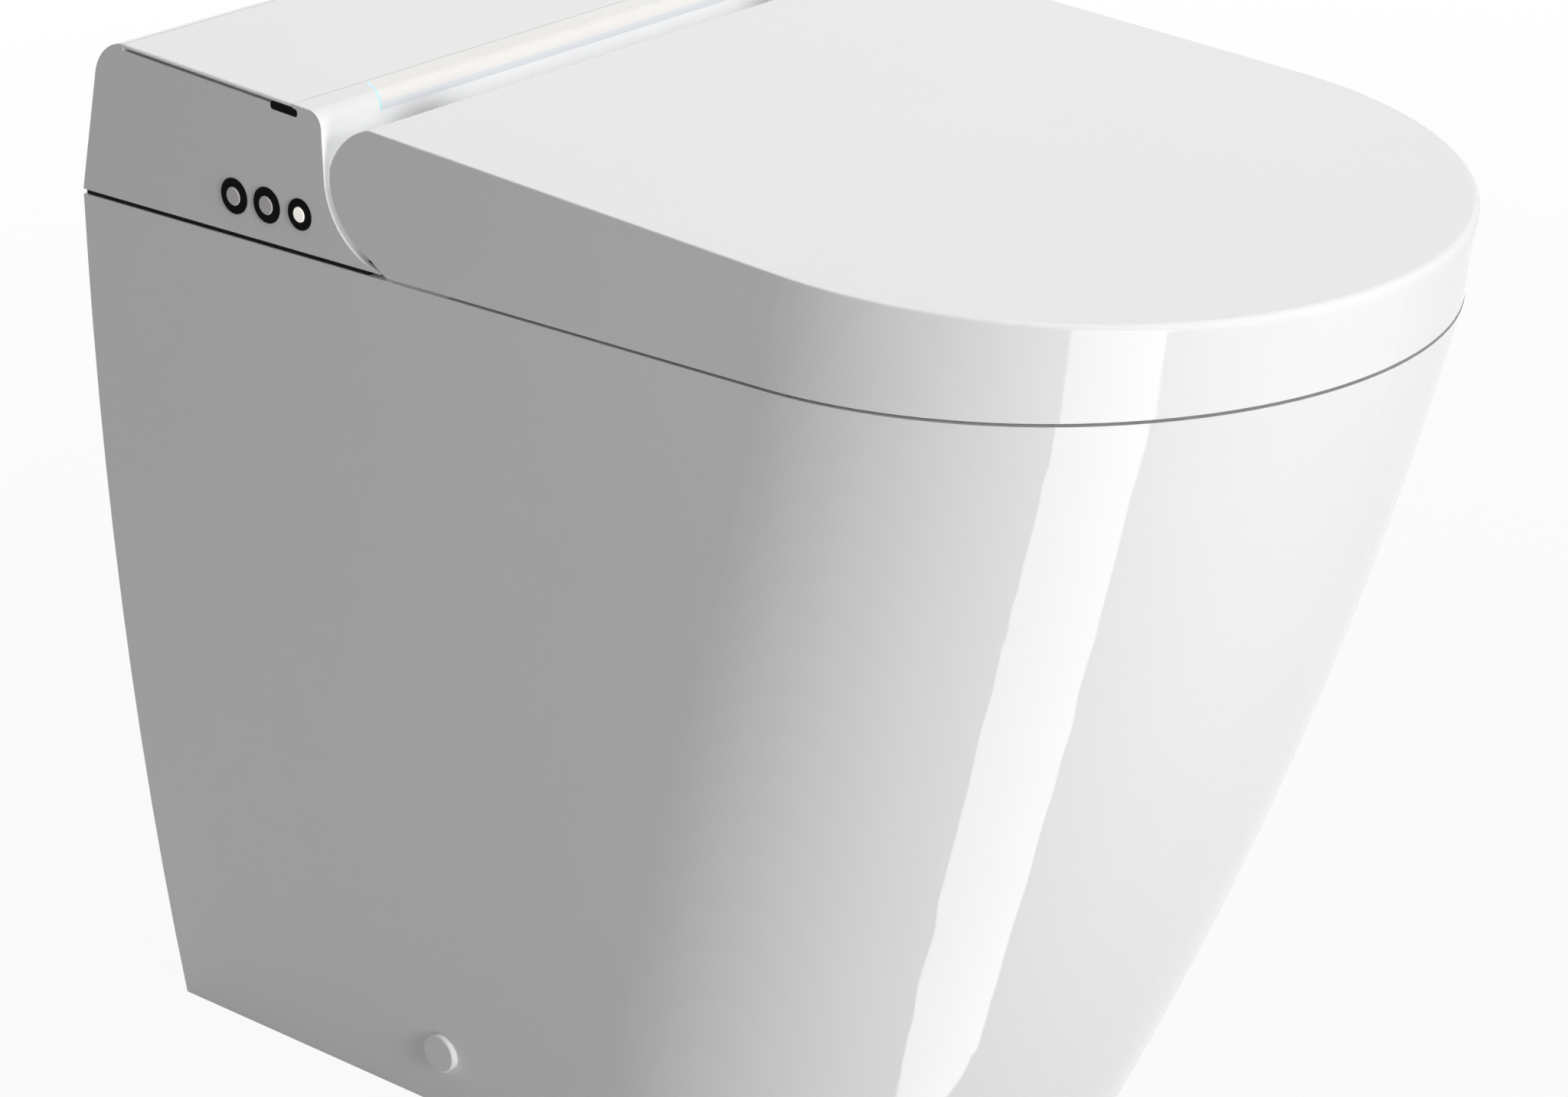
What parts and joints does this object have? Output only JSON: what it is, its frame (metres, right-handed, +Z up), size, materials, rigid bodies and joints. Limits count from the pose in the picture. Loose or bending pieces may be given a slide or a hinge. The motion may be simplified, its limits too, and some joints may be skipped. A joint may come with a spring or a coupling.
{
  "type": "bidet toilet",
  "caption": "White tankless bidet toilet with a skirted ceramic base, sloping lid, heated seat, sliding wash nozzle, warm air dryer and push buttons on the side.",
  "frame": {"origin": "on the floor under the middle of the plan", "axes": "+Z up, the front faces -Y, the push buttons are on the -X side"},
  "size_m": [0.3867, 0.6394, 0.5343],
  "materials": {
    "bowl_glaze": "glossy white glaze",
    "lid_white": "polished white",
    "lid_lining": "satin white",
    "seat_white": "polished white",
    "seat_base": "fine grain white",
    "seat_foil": "printed foil",
    "housing_white": "polished white",
    "cover_white": "polished white",
    "strip_cream": "polished warm white",
    "light_cyan": "clear tinted light guide",
    "window_black": "polished black",
    "ring_black": "satin black",
    "button_white": "satin white",
    "button_dark": "satin dark grey",
    "gasket_rubber": "matt black",
    "foot_rubber": "matt grey",
    "outlet_rubber": "matt black",
    "chassis_grey": "moulded grey",
    "bolt_steel": "zinc plated",
    "bracket_steel": "galvanised",
    "cap_white": "polished white",
    "shaft_steel": "polished",
    "damper_black": "moulded black",
    "board_green": "solder mask",
    "nozzle_white": "polished white",
    "gear_nylon": "natural nylon",
    "motor_metal": "zinc grey",
    "guide_grey": "moulded grey",
    "dryer_grey": "moulded grey",
    "flap_white": "satin white",
    "wheel_black": "moulded black",
    "coil_metal": "heat tinted",
    "heater_case": "moulded ivory",
    "valve_blue": "moulded blue",
    "nipple_brass": "turned",
    "hose_clear": "milky silicone",
    "pipe_grey": "moulded grey",
    "supply_case": "satin grey",
    "filter_case": "moulded dark grey",
    "gland_black": "matt black"
  },
  "bodies": {
    "frame": {"ceramic_bowl": "bowl_glaze", "outlet_seal": "outlet_rubber", "floor_brackets": "bracket_steel", "side_fixing_screws": "bolt_steel", "fixing_hole_caps": "cap_white", "display_strip": "strip_cream", "status_lights": "light_cyan", "receiver_window": "window_black", "button_bezels": "ring_black", "key_board": "board_green", "housing_shell": "housing_white", "top_cover": "cover_white", "deck_seal": "gasket_rubber", "base_chassis": "chassis_grey", "chassis_bolts": "bolt_steel", "chassis_nuts": "bolt_steel", "hinge_shafts": "shaft_steel", "hinge_dampers": "damper_black", "nozzle_guide": "guide_grey", "nozzle_motor": "motor_metal", "dryer_fan_casing": "dryer_grey", "dryer_duct": "dryer_grey", "dryer_motor": "motor_metal", "dryer_heater": "coil_metal", "water_heater": "heater_case", "inlet_nipple": "nipple_brass", "inlet_valve": "valve_blue", "inlet_hose": "hose_clear", "wash_hose": "hose_clear", "flush_valve": "valve_blue", "rim_feed_pipe": "pipe_grey", "control_board": "board_green", "power_supply": "supply_case", "deodoriser_cartridge": "filter_case", "cable_gland": "gland_black"},
    "seat": {"seat_upper": "seat_white", "seat_underside": "seat_base", "seat_heating_foil": "seat_foil", "seat_bumpers": "foot_rubber"},
    "lid": {"lid_shell": "lid_white", "lid_inner_panel": "lid_lining", "lid_hinge_arms": "lid_lining", "lid_bumpers": "foot_rubber"},
    "nozzle": {"nozzle_wand": "nozzle_white", "nozzle_tip": "nozzle_white", "nozzle_rack": "gear_nylon"},
    "drive": {"nozzle_gear": "gear_nylon"},
    "flap": {"dryer_flap": "flap_white"},
    "fan": {"dryer_fan_wheel": "wheel_black"},
    "wash": {"wash_button": "button_dark"},
    "stop": {"stop_button": "button_dark"},
    "power": {"power_button": "button_white"}
  },
  "joints": [
    {"name": "seat_hinge", "type": "hinge", "parent": "frame", "child": "seat", "pos_m": [0, 0.109, 0.494], "axis": [1, 0, 0], "range_deg": [-95, 0]},
    {"name": "lid_hinge", "type": "hinge", "parent": "seat", "child": "lid", "pos_m": [0, 0.109, 0.494], "axis": [-1, 0, 0], "range_deg": [0, 105]},
    {"name": "nozzle_slide", "type": "slide", "parent": "frame", "child": "nozzle", "axis": [0, -0.9063, -0.4226], "range_m": [0, 0.095]},
    {"name": "nozzle_gear_spin", "type": "hinge", "parent": "frame", "child": "drive", "pos_m": [-0.028, 0.16281, 0.48282], "axis": [1, 0, 0], "range_deg": [-780, 0]},
    {"name": "dryer_flap_hinge", "type": "hinge", "parent": "frame", "child": "flap", "pos_m": [0.056, 0.12879, 0.45876], "axis": [-1, 0, 0], "range_deg": [0, 60], "stiffness_Nm_per_rad": 0.001, "springref_deg": -17.19},
    {"name": "dryer_fan_spin", "type": "hinge", "parent": "frame", "child": "fan", "pos_m": [0.072, 0.236, 0.4802], "axis": [0, 0, 1], "continuous": true},
    {"name": "wash_press", "type": "slide", "parent": "frame", "child": "wash", "axis": [1, 0, 0], "range_m": [0, 0.0012], "stiffness_N_per_m": 500, "springref_m": -0.001},
    {"name": "stop_press", "type": "slide", "parent": "frame", "child": "stop", "axis": [1, 0, 0], "range_m": [0, 0.0012], "stiffness_N_per_m": 500, "springref_m": -0.001},
    {"name": "power_press", "type": "slide", "parent": "frame", "child": "power", "axis": [1, 0, 0], "range_m": [0, 0.0012], "stiffness_N_per_m": 500, "springref_m": -0.001}
  ],
  "couplings": [
    {"joint": "nozzle_gear_spin", "follows": "nozzle_slide", "rad_per_m": -142.86}
  ]
}
